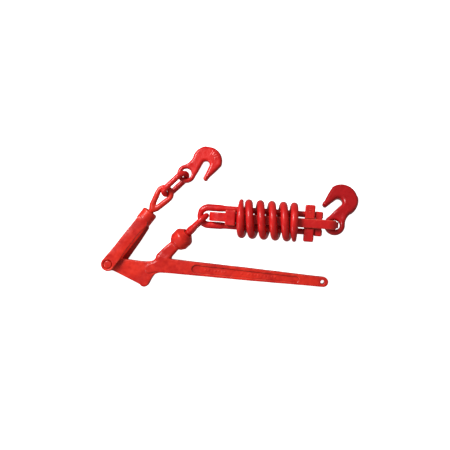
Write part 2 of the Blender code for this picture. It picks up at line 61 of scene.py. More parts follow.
# The CAD's own sizes, in millimetres
EYE_RADIUS, EYE_HALF, PLATE_HALF = 14.0, 12.5, 11.0
PIN_RADIUS, PIN_HALF, BORE_RADIUS = 8.0, 23.5, 8.35
TIP_X, HANDLE_Y = 441.0, 8.3
SOCKET_X, SOCKET_Y, BARREL_RADIUS, CAVITY_RADIUS = 144.0, 66.1, 21.0, 12.0
LEG_OUTER, LEG_EYE_RADIUS = 22.0, 14.3
HEAD_TOP, HEAD_RADIUS, SHANK_HOLE_RADIUS = 138.0, 16.3, 6.6
EYE_ROD, EYE_APEX_BOW = 5.5, 6.2
LINK_BOW, LINK_STRAIGHT, LINK_INSET = 16.0, 28.0, 13.3
HOOK_EYE_RADIUS, BOW_X, BOW_Y, BOW_RADIUS = 20.0, 43.5, 31.0, 30.7
ROD_RADIUS, ROD_BOW, ROD_BIGHT_X, ROD_END_X = 6.1, 17.4, -120.3, 109.7
STRAP_BOW, STRAP_BIGHTS_X = 17.5, (-97.6, 119.5)
GROOVE_HALF = 9.8
CROWN_X = ROD_BIGHT_X - ROD_BOW + ROD_RADIUS + EYE_ROD + 0.35

# Where the pieces point in the CAD, in degrees
HANDLE_AZIMUTH, YOKE_AZIMUTH, LINK_AZIMUTH, DRAW_AZIMUTH = -5.6, 51.6, 42.6, -4.0
HOOK_CHAIN_AZIMUTH, HOOK_SPRING_AZIMUTH = 66.4, 38.3
HOOK_CHAIN_DROP, HOOK_SPRING_DROP = 8.0, 18.0
LINK_ROLL = 21.0

# ---------------------------------------------------------------- frames, as the CAD has them


def turn(angle, axis):
    return Matrix.Rotation(radians(angle), 4, axis)


def shift(x=0.0, y=0.0, z=0.0):
    return Matrix.Translation(Vector((x, y, z)) * MM)


def at(joint):
    return Matrix.Translation(Vector(JOINTS[joint]["pos_m"]))


def lever_frame():
    axis = Vector(JOINTS["yoke_pivot"]["axis"])
    tilt = degrees(asin(hypot(axis.x, axis.y)))
    return at("yoke_pivot") @ turn(HANDLE_AZIMUTH, "Z") @ turn(tilt, "Y")


def swivel_frame():
    axis = Vector(JOINTS["lever_swivel"]["axis"])
    azimuth, climb = degrees(atan2(axis.y, axis.x)), degrees(asin(axis.z))
    return at("lever_swivel") @ turn(azimuth, "Z") @ turn(-climb, "Y")


def link_frame():
    """The link's own frame starts back from its joint, towards the yoke."""
    along = radians(YOKE_AZIMUTH)
    lean = turn(LINK_AZIMUTH, "Z") @ turn(-LINK_ROLL, "X")
    return shift(-LINK_INSET * cos(along), -LINK_INSET * sin(along)) @ at("link_swing") @ lean


def hook_chain_frame():
    """This hook is turned over."""
    dip = turn(HOOK_CHAIN_DROP, "Y") @ turn(180, "X")
    return at("chain_hook_swing") @ turn(HOOK_CHAIN_AZIMUTH, "Z") @ dip


def hook_spring_frame():
    """The hook's bow dips towards the ground, so it leans about a line square to the bow."""
    bow = degrees(atan2(BOW_Y, BOW_X))
    dip = turn(bow, "Z") @ turn(HOOK_SPRING_DROP, "Y") @ turn(-bow, "Z")
    return at("spring_hook_swing") @ turn(HOOK_SPRING_AZIMUTH, "Z") @ dip


LEVER = lever_frame()
YOKE = LEVER @ turn(YOKE_AZIMUTH - HANDLE_AZIMUTH, "Z")
YOKE_EYE = YOKE @ shift(HEAD_TOP)
SOCKET = swivel_frame()
LINK = link_frame()
HOOK_CHAIN = hook_chain_frame()
HOOK_SPRING = hook_spring_frame()
DRAW = at("draw_unit_swing") @ turn(DRAW_AZIMUTH, "Z") @ shift(-CROWN_X)

# ---------------------------------------------------------------- fields


def soft_min(a, b, blend):
    """Two shapes as one, with a fillet where they meet."""
    h = np.clip(0.5 + 0.5 * (b - a) / blend, 0, 1)
    return b + (a - b) * h - blend * h * (1 - h)


def soft_max(a, b, blend):
    """What two shapes share, with a rounded edge where their surfaces meet."""
    return -soft_min(-a, -b, blend)


def step(value, start, end):
    """0 up to the start and 1 from the end on, with a smooth climb between."""
    t = np.clip((value - start) / (end - start), 0, 1)
    return t * t * (3 - 2 * t)


def slab(outline, height, half, rounding):
    """A flat outline's distance drawn out to both sides, with its edges rounded over."""
    side, face = outline + rounding, np.abs(height) - half + rounding
    outside = np.hypot(np.maximum(side, 0), np.maximum(face, 0))
    return np.minimum(np.maximum(side, face), 0) + outside - rounding


def polygon(x, y, points):
    """The distance to a closed outline, below zero inside."""
    best, sign = 1e9, 1.0
    for (ax, ay), (bx, by) in zip(points, points[1:] + points[:1]):
        ex, ey, wx, wy = bx - ax, by - ay, x - ax, y - ay
        t = np.clip((wx * ex + wy * ey) / (ex * ex + ey * ey), 0, 1)
        best = np.minimum(best, (wx - ex * t) ** 2 + (wy - ey * t) ** 2)
        above, below, left = y >= ay, y < by, ex * wy > ey * wx
        crosses = (above & below & left) | ~(above | below | left)
        sign = np.where(crosses, -sign, sign)
    return sign * np.sqrt(best)


def arc(centre, radius, start, end, steps=16):
    angles = [radians(start + (end - start) * n / steps) for n in range(steps + 1)]
    return [(centre[0] + radius * cos(a), centre[1] + radius * sin(a)) for a in angles]


def eased(points, steps=5):
    """A smooth line through the points, without its own end points' overshoot."""
    ends = [points[0], *points, points[-1]]
    line = []
    for a, b, c, d in zip(ends, ends[1:], ends[2:], ends[3:]):
        for n in range(steps):
            t = n / steps
            weights = (
                -0.5 * t + t * t - 0.5 * t**3,
                1 - 2.5 * t * t + 1.5 * t**3,
                0.5 * t + 2 * t * t - 1.5 * t**3,
                -0.5 * t * t + 0.5 * t**3,
            )
            line.append(tuple(sum(w * p[i] for w, p in zip(weights, (a, b, c, d))) for i in (0, 1)))
    return line + [points[-1]]


def inset(points, amount):
    """An anticlockwise outline moved inwards, so that growing it again rounds its corners."""
    made = []
    for a, b, c in zip(points[-1:] + points[:-1], points, points[1:] + points[:1]):
        first, second = Vector(b) - Vector(a), Vector(c) - Vector(b)
        first.normalize()
        second.normalize()
        n1, n2 = Vector((-first.y, first.x)), Vector((-second.y, second.x))
        made.append(tuple(Vector(b) + (n1 + n2) / (1 + n1.dot(n2)) * amount))
    return made


def turned(along, y, z, profile, rounding=1.5):
    """A round piece from an anticlockwise profile of (along, radius) points, from its axis to its axis."""
    mirrored = profile + [(a, -r) for a, r in profile[-2:0:-1]]
    return polygon(along, np.hypot(y, z), inset(mirrored, rounding)) - rounding


def rounded_bar(v, z, half_v, half_z, rounding):
    """An endless bar whose section is a rectangle with rounded corners."""
    side, face = np.abs(v) - half_v + rounding, np.abs(z) - half_z + rounding
    outside = np.hypot(np.maximum(side, 0), np.maximum(face, 0))
    return np.minimum(np.maximum(side, face), 0) + outside - rounding


def brick(x, y, z, low, high, rounding):
    """A box with rounded edges."""
    q = [np.abs(c - (a + b) / 2) - (b - a) / 2 + rounding for c, a, b in zip((x, y, z), low, high)]
    outside = np.sqrt(sum(np.maximum(d, 0) ** 2 for d in q))
    return np.minimum(np.maximum(np.maximum(q[0], q[1]), q[2]), 0) + outside - rounding


def capsule(x, y, start, end, radius_start, radius_end):
    """The distance to a tapered flat finger between two points."""
    ex, ey = end[0] - start[0], end[1] - start[1]
    t = np.clip(((x - start[0]) * ex + (y - start[1]) * ey) / (ex * ex + ey * ey), 0, 1)
    gap = np.hypot(x - start[0] - ex * t, y - start[1] - ey * t)
    return gap - radius_start - (radius_end - radius_start) * t


def pear(along, across, centre, big, apex, small):
    """The distance to a pear-shaped outline: a big circle at centre and a small one at apex."""
    height = centre - apex
    lean = (big - small) / height
    side = sqrt(1 - lean * lean)
    px, py = np.abs(across), centre - along
    k = py * side - px * lean
    near_big, near_small = np.hypot(px, py) - big, np.hypot(px, py - height) - small
    return np.where(k < 0, near_big, np.where(k > side * height, near_small, px * side + py * lean - big))


def seen_from(x, y, z, matrix):
    """The same points in another frame, whose place in this one is the matrix."""
    m = matrix.inverted()
    return [m[i][0] * x + m[i][1] * y + m[i][2] * z + m[i][3] / MM for i in range(3)]


def hammered(x, y, z, amount, seed=0.0):
    """The slow waviness of a forged skin."""
    a = np.sin(x / 6.3 + seed) * np.sin(y / 5.1 + 1.7 + seed) * np.sin(z / 5.7 + 0.6)
    b = np.sin(x / 13.1 + 2.1) * np.sin(y / 11.3 + seed) + np.sin((x + y + z) / 9.7 + seed)
    return amount * (a + 0.5 * b)


# ---------------------------------------------------------------- from a field to a mesh

CORNERS = [(i, j, k) for i in (0, 1) for j in (0, 1) for k in (0, 1)]
EDGES = [(a, b) for a, b in combinations(range(8), 2) if (a ^ b) in (1, 2, 4)]


def cells_of(value):
    """The cells that the surface passes through, and each one's point on it, in cells."""
    inside = value < 0
    shape = tuple(n - 1 for n in value.shape)
    count = np.zeros(shape, np.int8)
    for i, j, k in CORNERS:
        count += inside[i : i + shape[0], j : j + shape[1], k : k + shape[2]]
    where = np.argwhere((count > 0) & (count < 8))
    number = np.full(shape, -1, np.int64)
    number[tuple(where.T)] = np.arange(len(where))
    corner = [value[where[:, 0] + i, where[:, 1] + j, where[:, 2] + k] for i, j, k in CORNERS]
    total, hits = np.zeros((len(where), 3)), np.zeros(len(where))
    for a, b in EDGES:
        cut = (corner[a] < 0) != (corner[b] < 0)
        t = np.where(cut, corner[a] / np.where(cut, corner[a] - corner[b], 1), 0)
        ends = np.array(CORNERS[a], float), np.array(CORNERS[b], float)
        total += np.where(cut[:, None], ends[0] + (ends[1] - ends[0]) * t[:, None], 0)
        hits += cut
    return where + total / hits[:, None], number, inside


def quads_of(number, inside):
    """One face across each grid edge that the surface cuts, wound to face out."""
    faces = []
    for axis in range(3):
        u, v = (axis + 1) % 3, (axis + 2) % 3
        low = [slice(None)] * 3
        high = [slice(None)] * 3
        low[axis], high[axis] = slice(None, -1), slice(1, None)
        cut = np.argwhere(inside[tuple(low)] != inside[tuple(high)])
        starts = inside[tuple(cut.T)]
        ring = []
        for du, dv in ((-1, -1), (0, -1), (0, 0), (-1, 0)):
            cell = cut.copy()
            cell[:, u] += du
            cell[:, v] += dv
            ring.append(number[tuple(cell.T)])
        ring = np.stack(ring, 1)
        faces.append(np.where(starts[:, None], ring, ring[:, ::-1]))
    return np.concatenate(faces)


def slope(field, points, reach):
    """The field at the points, and how fast it grows in each direction."""
    here = field(*points.T)
    ahead = [field(*(points + reach * np.eye(3)[i]).T) for i in range(3)]
    return here, np.stack([(a - here) / reach for a in ahead], 1)


def onto(field, points, cell):
    """Moves the points onto the surface, along the field's slope."""
    for _ in range(3):
        here, grade = slope(field, points, 0.02)
        size = np.maximum((grade**2).sum(1), 0.2)
        move = grade * (here / size)[:, None]
        length = np.linalg.norm(move, axis=1)[:, None]
        points = points - move * np.minimum(1, 0.7 * cell / np.maximum(length, 1e-9))
    return points


def bulge(field, points, reach=1.6):
    """Above zero on an outer edge, below zero in a fillet."""
    _, grade = slope(field, points, 0.05)
    normal = grade / np.maximum(np.linalg.norm(grade, axis=1), 1e-9)[:, None]
    helper = np.where(np.abs(normal[:, :1]) < 0.8, [[1.0, 0.0, 0.0]], [[0.0, 1.0, 0.0]])
    first = np.cross(normal, helper)
    first /= np.linalg.norm(first, axis=1)[:, None]
    second = np.cross(normal, first)
    around = [field(*(points + s * reach * d).T) for d in (first, second) for s in (1, -1)]
    return sum(around) / (4 * reach)


def mesh_of(name, points, faces, matrix, wear_and_shade):
    """A smooth mesh, keeping on its points the bulge that its paint reads for worn edges, painted highlights
    and painted shade.
    """
    world = np.array(matrix, float)
    points = points * MM @ world[:3, :3].T + world[:3, 3]
    mesh = bpy.data.meshes.new(name)
    mesh.vertices.add(len(points))
    mesh.vertices.foreach_set("co", points.astype(np.float32).ravel())
    mesh.loops.add(faces.size)
    mesh.loops.foreach_set("vertex_index", faces.astype(np.int32).ravel())
    mesh.polygons.add(len(faces))
    mesh.polygons.foreach_set("loop_start", np.arange(0, faces.size, faces.shape[1], dtype=np.int32))
    mesh.update(calc_edges=True)
    mesh.validate()
    mesh.shade_smooth()
    mesh.attributes.new("bulge", "FLOAT", "POINT").data.foreach_set("value", wear_and_shade.astype(np.float32))
    return mesh


def surface(name, field, low, high, cell, matrix):
    """A piece whose skin is where the field is zero, between two corners of its own frame."""
    axes = [np.arange(a - 1.5 * cell, b + 2.5 * cell, cell) for a, b in zip(low, high)]
    shape = tuple(len(axis) for axis in axes)
    value = np.broadcast_to(field(*np.ix_(*axes)), shape)
    cells, number, inside = cells_of(value)
    start = np.array([axis[0] for axis in axes])
    points = onto(field, start + cells * cell, cell)
    wear_and_shade = bulge(field, points)
    # Painted shade that some pieces add to the bulge, which the paint darkens as it does a fillet.
    if name in PAINTED_SHADES:
        wear_and_shade += PAINTED_SHADES[name](*points.T)
    mesh = mesh_of(name, points, quads_of(number, inside), matrix, wear_and_shade)
    obj = bpy.data.objects.new(name, mesh)
    bpy.context.scene.collection.objects.link(obj)
    return obj


# ---------------------------------------------------------------- paint


class Nodes:
    """Short calls for building a material's nodes."""

    def __init__(self, name):
        self.material = bpy.data.materials.new(name)
        self.material.use_nodes = True
        self.tree = self.material.node_tree
        self.tree.nodes.clear()

    def add(self, kind, inputs=(), **settings):
        node = self.tree.nodes.new(kind)
        for key, value in settings.items():
            setattr(node, key, value)
        for key, value in dict(inputs).items():
            if isinstance(value, bpy.types.NodeSocket):
                self.tree.links.new(value, node.inputs[key])
            else:
                node.inputs[key].default_value = value
        return node

    def noise(self, where, scale, detail=3.0, roughness=0.55):
        made = self.add(
            "ShaderNodeTexNoise",
            {"Vector": where, "Scale": scale, "Detail": detail, "Roughness": roughness},
        )
        return made.outputs["Fac"]

    def spread(self, value, low, high, to_low=0.0, to_high=1.0):
        inputs = {"Value": value, "From Min": low, "From Max": high, "To Min": to_low, "To Max": to_high}
        return self.add("ShaderNodeMapRange", inputs, interpolation_type="SMOOTHSTEP").outputs["Result"]

    def mix(self, amount, first, second):
        node = self.add("ShaderNodeMix", data_type="RGBA")
        for socket, value in zip((node.inputs[0], node.inputs[6], node.inputs[7]), (amount, first, second)):
            if isinstance(value, bpy.types.NodeSocket):
                self.tree.links.new(value, socket)
            else:
                socket.default_value = value
        return node.outputs[2]

    def bump(self, height, strength, distance, **under):
        inputs = {"Strength": strength, "Distance": distance, "Height": height} | under
        return self.add("ShaderNodeBump", inputs).outputs[0]

    def times(self, first, second):
        return self.add("ShaderNodeMath", {0: first, 1: second}, operation="MULTIPLY").outputs[0]

    def plus(self, first, second):
        return self.add("ShaderNodeMath", {0: first, 1: second}, operation="ADD").outputs[0]


def linear(red, green, blue):
    """An sRGB colour of 0 to 255 as the linear colour that a shader takes."""
    values = [c / 255 for c in (red, green, blue)]
    return tuple(c / 12.92 if c <= 0.04045 else ((c + 0.055) / 1.055) ** 2.4 for c in values) + (1.0,)


def darker(colour, share):
    return tuple(c * share for c in colour[:3]) + (1.0,)


def forged_paint(name, light, dark, rough):
    """Gloss paint over a forged skin: uneven in tone, lighter on the edges, where it is worn thin and carries
    a painted highlight, and darker in the fillets, where it pools and carries painted shade.
    """
    n = Nodes(name)
    where = n.add("ShaderNodeTexCoord").outputs["Object"]
    broad, middle, fine = n.noise(where, 22.0, 2.0), n.noise(where, 95.0, 4.0), n.noise(where, 620.0, 3.0)
    pits_inputs = {"Vector": where, "Scale": 210.0, "Randomness": 1.0}
    pits = n.add("ShaderNodeTexVoronoi", pits_inputs, feature="SMOOTH_F1").outputs["Distance"]
    bulging = n.add("ShaderNodeAttribute", attribute_name="bulge").outputs["Fac"]
    tone = n.mix(n.spread(n.plus(n.times(broad, 0.6), n.times(middle, 0.4)), 0.34, 0.66), dark, light)
    ragged = n.plus(bulging, n.times(n.plus(middle, -0.5), 0.5))
    # Edges lighter: paint worn thin, and a painted highlight along them.
    worn_and_highlit = n.times(n.spread(ragged, 0.12, 0.3), 0.55)
    tone = n.mix(worn_and_highlit, tone, WORN_EDGE_HIGHLIGHT)
    # Fillets darker: pooled paint and painted shade, with the yoke's band of painted shade.
    pooled_and_shaded = n.times(n.spread(bulging, -0.03, -0.22), 0.75)
    tone = n.mix(pooled_and_shaded, tone, darker(dark, 0.42))
    flecks = n.times(n.spread(fine, 0.66, 0.78), 0.35)
    tone = n.mix(flecks, tone, darker(dark, 0.5))
    roughness = n.spread(n.plus(n.times(middle, 0.6), n.times(fine, 0.4)), 0.35, 0.65, *rough)
    dents = n.bump(middle, 0.55, 0.0016)
    dents = n.bump(pits, 0.30, 0.0006, Normal=dents)
    dents = n.bump(fine, 0.35, 0.00022, Normal=dents)
    look = {"Base Color": tone, "Roughness": roughness, "Normal": dents, "Metallic": 0.0, "IOR": 1.5}
    look |= {"Specular IOR Level": 0.28, "Coat Weight": 0.28, "Coat Roughness": 0.14}
    shader = n.add("ShaderNodeBsdfPrincipled", look)
    n.add("ShaderNodeOutputMaterial", {"Surface": shader.outputs[0]})
    return n.material


# Colour of the worn edges, which also serves as their painted highlight.
WORN_EDGE_HIGHLIGHT = linear(250, 108, 84)
ORANGE_RED, RED, DEEP_RED = "orange_red_paint", "red_paint", "deep_red_paint"
PAINT = {
    ORANGE_RED: forged_paint(ORANGE_RED, linear(232, 44, 22), linear(192, 22, 16), (0.32, 0.5)),
    RED: forged_paint(RED, linear(222, 30, 24), linear(198, 15, 18), (0.32, 0.5)),
    DEEP_RED: forged_paint(DEEP_RED, linear(196, 12, 20), linear(176, 8, 14), (0.26, 0.4)),
}


def fit(obj, body, paint, *nodes):
    """Paints a piece, lets it ride on its body and hides the CAD nodes that it stands for."""
    obj.data.materials.clear()
    obj.data.materials.append(PAINT[paint])
    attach(obj, body)
    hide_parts(*nodes)
    return obj


# ---------------------------------------------------------------- lever, pin and yoke

WEB_HALF = 9.3
TIE_HOLE_RADIUS = 4.0
HEEL_CENTRE, HEEL_RADIUS = (76.0, -29.4), 10.1
ARM_FOOT_X, ARM_FOOT_Y = 103.4, 19.2
ARM_AZIMUTH = atan2(SOCKET_Y - ARM_FOOT_Y, SOCKET_X - ARM_FOOT_X)
ARM_START, ARM_END = -61.6, -4.0
CHANNEL_START, CHANNEL_END, CHANNEL_MIDDLE, CHANNEL_DEPTH = 180.0, 386.0, 7.9, 2.7
MARK_HEIGHT = 0.45
SOCKET_IN_LEVER = LEVER.inverted() @ SOCKET


def web_outline():
    """The plate between the pivot, the heel and the arm."""
    heel = arc(HEEL_CENTRE, HEEL_RADIUS, -146, -20, 14)
    under = eased([(86.4, -31.4), (90.2, -22.0), (97.0, -11.4), (108.5, -6.6)], 4)[1:]
    inner = [(128.0, 0.0), (128.0, 20.0)]
    back = eased([(104.0, 27.0), (93.0, 18.4), (81.0, 13.8), (64.0, 12.4), (44.6, 13.0)], 5)
    return heel + under + inner + back + arc((0, 0), 13.6, 84, 300, 26)


def handle_outline():
    low = [(103.0, -4.0), (108.5, -6.7), (138.0, -6.05), (293.0, -4.4), (416.0, -2.1)]
    high = [(416.0, 18.7), (293.0, 21.0), (138.0, 22.7), (110.0, 23.4), (102.0, 17.0)]
    return low + arc((TIP_X, HANDLE_Y), 10.3, -88, 88, 20) + high


WEB, HANDLE = web_outline(), handle_outline()
BARREL = [
    (19.6, 0),
    (19.6, 10.8),
    (10.2, 20.0),
    (7.4, BARREL_RADIUS),
    (-7.6, BARREL_RADIUS),
    (-15.6, 16.6),
    (-19.6, 10.0),
    (-19.6, 0),
]


def lever_arm(x, y, z):
    """The arm between the web and the socket, thinner at both ends."""
    u = (x - SOCKET_X) * cos(ARM_AZIMUTH) + (y - SOCKET_Y) * sin(ARM_AZIMUTH)
    v = -(x - SOCKET_X) * sin(ARM_AZIMUTH) + (y - SOCKET_Y) * cos(ARM_AZIMUTH)
    half = 12.6 - 1.6 * step(u, -40, -14) - 0.6 * step(-u, 40, 58)
    thick = 10.7 - 0.8 * step(u, -34, -14) - 1.7 * step(-u, 38, 58)
    ends = np.abs(u - (ARM_START + ARM_END) / 2) - (ARM_END - ARM_START) / 2
    return soft_max(rounded_bar(v, z, half, thick, 6.0), ends, 6.0)


def lever_socket(x, y, z):
    """The barrel at the arm's end, and the ball's seat with its flared mouth."""
    a, b, c = seen_from(x, y, z, SOCKET_IN_LEVER)
    off_axis = np.hypot(b, c)
    seat = np.minimum(np.sqrt(a * a + b * b + c * c) - CAVITY_RADIUS, np.maximum(off_axis - 7.3, -a))
    mouth = np.maximum(off_axis - 7.2 - 0.55 * (a - 15.2), CAVITY_RADIUS - a)
    return turned(a, b, c, BARREL, 0.9), np.minimum(seat, mouth)


def lever_channel(x, y, z):
    half = 8.3 - 2.4 * (x - 172.0) / 220.0
    outline = np.hypot(x - np.clip(x, CHANNEL_START, CHANNEL_END), y - CHANNEL_MIDDLE) - half
    return np.maximum(outline, PLATE_HALF - CHANNEL_DEPTH - np.abs(z))


def lever_marks(x, y, z):
    """Plain raised dashes in the channel, in two groups, where the real one has lettering."""
    row = step(2.3 - np.abs(y - CHANNEL_MIDDLE), 0, 0.8)
    dashes = step(np.sin(x * 0.92) + 0.7 * np.sin(x * 0.37 + 1.0), 0.1, 0.5) * row
    groups = step(x, 196, 199) * step(-x, -352, -349) * step(np.abs(x - 262.0), 7, 9)
    return MARK_HEIGHT * dashes * groups * (np.abs(z) > 7.2)


def lever_field(x, y, z):
    web = slab(polygon(x, y, WEB), z, WEB_HALF, 2.2)
    boss = slab(np.hypot(x, y) - EYE_RADIUS, z, EYE_HALF, 1.6)
    rib = capsule(x, y, (84.2, -1.2), (114.0, 11.5), 8.8, 11.5)
    raised = slab(soft_min(polygon(x, y, HANDLE), rib, 5.0), z, PLATE_HALF, 1.9)
    barrel, hollow = lever_socket(x, y, z)
    solid = soft_min(soft_min(web, boss, 3.0), lever_arm(x, y, z), 12.0)
    solid = soft_min(solid, raised, 1.6)
    solid = soft_min(solid, barrel, 2.6)
    solid = soft_max(solid, -hollow, 1.0)
    solid = soft_max(solid, BORE_RADIUS - np.hypot(x, y), 1.2)
    solid = soft_max(solid, TIE_HOLE_RADIUS - np.hypot(x - 439.5, y - HANDLE_Y), 1.8)
    solid = soft_max(solid, -lever_channel(x, y, z), 0.9)
    return solid - lever_marks(x, y, z) + hammered(x, y, z, 0.10)


LEG_SIDE = [(8.0, 14.1), (40.0, 13.0), (112.0, 13.4), (118.0, 10.0)]
LEG = arc((0, 0), LEG_EYE_RADIUS, 90, 270, 30) + [(x, -y) for x, y in LEG_SIDE] + LEG_SIDE[::-1]
HEAD = [
    (HEAD_TOP, 0),
    (HEAD_TOP, 14.0),
    (135.6, HEAD_RADIUS),
    (112.6, HEAD_RADIUS),
    (110.4, 14.4),
    (110.4, 0),
]
HEEL = [
    (14.0, 0.0),
    (14.0, -9.0),
    (19.0, -18.4),
    (27.0, -22.0),
    (70.0, -19.8),
    (106.0, -17.4),
    (113.0, -13.0),
    (113.0, 0.0),
]


def yoke_field(x, y, z):
    """Two crowned legs that close in on a round head. The lower leg's outer side is drawn out into a heel."""
    narrowing = step(x, 74.0, 108.0)
    middle = 17.6 - 4.0 * narrowing
    crown = (1.5 - 0.9 * narrowing) * np.clip(y / 13.4, -1, 1) ** 2 * step(x, 12.0, 30.0)
    legs = slab(polygon(x, y, LEG), np.abs(z) - middle, 4.4 - 2.3 * narrowing - crown, 1.9 - 0.5 * narrowing)
    waist = step(x, 22.0, 44.0) * step(-x, -108.0, -96.0)
    upper_side = np.where(z > 0, -y - 13.4 + 2.2 * waist, -60.0)
    below = z + middle + 0.45 * np.maximum(-y - 11.0, 0)
    heel = slab(polygon(x, y, HEEL), below, 3.4 - 1.3 * narrowing, 2.8 - 1.3 * narrowing)
    solid = soft_min(soft_max(legs, upper_side, 2.0), heel, 2.0)
    solid = soft_min(solid, turned(x, y, z, HEAD, 2.0), 3.0)
    solid = soft_max(solid, SHANK_HOLE_RADIUS - np.hypot(y, z), 1.0)
    countersink = np.hypot(x, y) - 10.4 + 0.9 * (LEG_OUTER - np.abs(z))
    solid = soft_max(solid, -np.minimum(np.hypot(x, y) - BORE_RADIUS, countersink), 0.7)
    return solid + hammered(x, y, z, 0.10, 1.3)


def yoke_painted_shade(x, y, z):
    """Painted shade: a dark band along the heel of the yoke's lower leg, where the upper leg's shadow falls.
    """
    return -0.26 * step(-z, 7.0, 12.0) * step(-y, 10.5, 12.5)


# Painted shade, per piece, added to its bulge.
PAINTED_SHADES = {"yoke_forging": yoke_painted_shade}


def pin_field(x, y, z):
    crown = np.abs(z) + (x * x + y * y) / 90.0
    barrel = soft_max(np.hypot(x, y) - PIN_RADIUS, crown - PIN_HALF, 2.0)
    return barrel + hammered(x, y, z, 0.04, 2.2)


# ---------------------------------------------------------------- swivel eyes and the link


def yoke_eye_field(x, y, z):
    loop = np.hypot(pear(x, y, 46.4, 13.8, 15.0, EYE_APEX_BOW), z) - 5.4 - 0.6 * step(-x, -44.0, -34.0)
    shank = turned(x, y, z, [(17, 0), (17, 3.2), (6, 5.9), (-35, 5.9), (-35, 0)], 1.2)
    button = turned(x, y, z, [(-30.4, 0), (-30.4, 10.4), (-35.5, 10.4), (-37.3, 8.4), (-37.3, 0)], 1.2)
    solid = soft_min(soft_min(loop, shank, 5.0), button, 1.0)
    return solid + hammered(x, y, z, 0.08, 0.7)


def lever_eye_field(x, y, z):
    """A loop on a ringed neck, with the ball that sits in the lever's socket."""
    loop = np.hypot(pear(x, z, 61.4, 14.0, 36.0, EYE_APEX_BOW), y) - 5.45 - 0.9 * step(-x, -62.0, -44.0)
    neck = turned(x, y, z, [(41, 0), (41, 3.4), (35, 7.0), (22.4, 7.4), (20.6, 6.4), (2, 6.3), (2, 0)], 0.8)
    neck = neck - 0.9 * np.cos((x - 25.4) * 1.2) * step(x, 22.5, 24.0) * step(-x, -40.0, -35.0)
    ball = np.sqrt(x * x + y * y + z * z) - 11.1
    solid = soft_min(soft_min(loop, neck, 5.0), ball, 1.2)
    return solid + hammered(x, y, z, 0.08, 2.9)


def link_field(x, y, z):
    ring = np.hypot(x - np.clip(x, LINK_BOW, LINK_BOW + LINK_STRAIGHT), z) - LINK_BOW
    weld = 0.3 * np.exp(-(((x - 30.0) / 3.2) ** 2)) * (z < 0)
    return np.hypot(ring, y) - 5.85 - weld + hammered(x, y, z, 0.06, 1.9)


# ---------------------------------------------------------------- hooks


def hook_outline(short):
    """Seen from above, with the tip drawn back by so much along the slot."""
    eye = arc((0, 0), HOOK_EYE_RADIUS, 84, 312, 40)
    neck = eased([(15.6, -12.6), (18.2, -9.8), (21.6, -6.8), (27.4, -3.8), (35.9, -1.2)], 4)
    bow = arc((BOW_X, 29.6), 31.6, -102, -30, 18) + arc((BOW_X, BOW_Y), BOW_RADIUS, -22, 86, 27)
    last = [(10.5 + 0.7 * short, 48.0 + 0.22 * short), (1.6 + short, 45.6 + 0.3 * short)]
    tip_arm = eased([(45.6, 61.6), (39.5, 59.4), (25.0, 53.8), *last], 4)[1:-1]
    tip = arc((3.6 + short, 42.0 + 0.14 * short), 5.1 + 0.04 * short, 112, 276, 14)
    slot = [(12.0 + short, 38.1)] + arc((34.6, 30.5), 7.8, 90, -90, 24)
    return eye + neck[1:-1] + bow + tip_arm + tip + slot


def bow_mark(x, y, z):
    """A plain raised patch on the bow, where the real hook has lettering."""
    from_middle = np.hypot(x - BOW_X, y - BOW_Y)
    swing = np.degrees(np.arctan2(y - BOW_Y, x - BOW_X))
    patch = step(from_middle, 14.4, 16.0) * step(-from_middle, -24.6, -23.0)
    patch = patch * step(swing, 2, 8) * step(-swing, -64, -58)
    return patch * (0.45 + 0.55 * step(np.sin(swing * 0.42), -0.3, 0.3)) * (np.abs(z) > 6)


def hook_field(x, y, z, outline, hole, mark):
    from_eye = np.hypot(x, y)
    thick = 7.0 + 3.0 * step(from_eye, 15.5, 28.0)
    thick = thick - 1.6 * step(y + 0.12 * x, 46.0, 62.0) * step(-x, -34.0, -4.0)
    body = slab(polygon(x, y, outline), z, thick, 6.6)
    body = soft_max(body, hole - from_eye, 5.0)
    return body - mark * bow_mark(x, y, z) + hammered(x, y, z, 0.12, 0.4)


def hook(size, short, hole, mark):
    """A hook's field at so many times its drawn size."""
    outline = hook_outline(short)
    return lambda x, y, z: hook_field(x / size, y / size, z / size, outline, hole, mark) * size


# ---------------------------------------------------------------- draw unit


def rod_field(x, y, z):
    """A bent rod, a little thicker round its bight."""
    middle = np.hypot(np.minimum(x - ROD_BIGHT_X, 0), y) - ROD_BOW
    bar = np.hypot(middle, z) - 6.05 - 1.3 * step(-x, 86.0, 98.0) * step(np.abs(y), 6.0, 13.0)
    return soft_max(bar, x - ROD_END_X, 2.0) + hammered(x, y, z, 0.05, 3.1)


def strap_field(x, y, z):
    ring = np.hypot(x - np.clip(x, *STRAP_BIGHTS_X), z) - STRAP_BOW
    half = 9.0 - 2.9 * step(x, 112.0, 119.0) * step(-np.abs(z), -14.5, -11.0)
    return slab(np.abs(ring) - 4.0, y, half, 1.5) + hammered(x, y, z, 0.07, 2.4)


def keeper_dashes(x, y, z):
    rows = step(2.6 - np.abs(x - 83.2), 0, 0.8) * step(7.2 - np.abs(y - 24.5), 0, 0.8)
    return 0.55 * step(np.sin((y - 16.0) * 1.25), 0.0, 0.5) * rows * (np.abs(z) > 12)


def right_keeper_field(x, y, z):
    """A block with a groove for the strap on each face and a hole for each leg of the rod."""
    block = brick(x, y, z, (73.1, -37.0, -15.6), (93.3, 37.0, 15.6), 3.2)
    groove = rounded_bar(y, np.abs(z) - 20.0, GROOVE_HALF, 9.2, 1.6)
    block = soft_max(block, -groove, 1.4) - keeper_dashes(x, y, z)
    return soft_max(block, rod_holes(y, z), 1.0) + hammered(x, y, z, 0.12, 0.9)


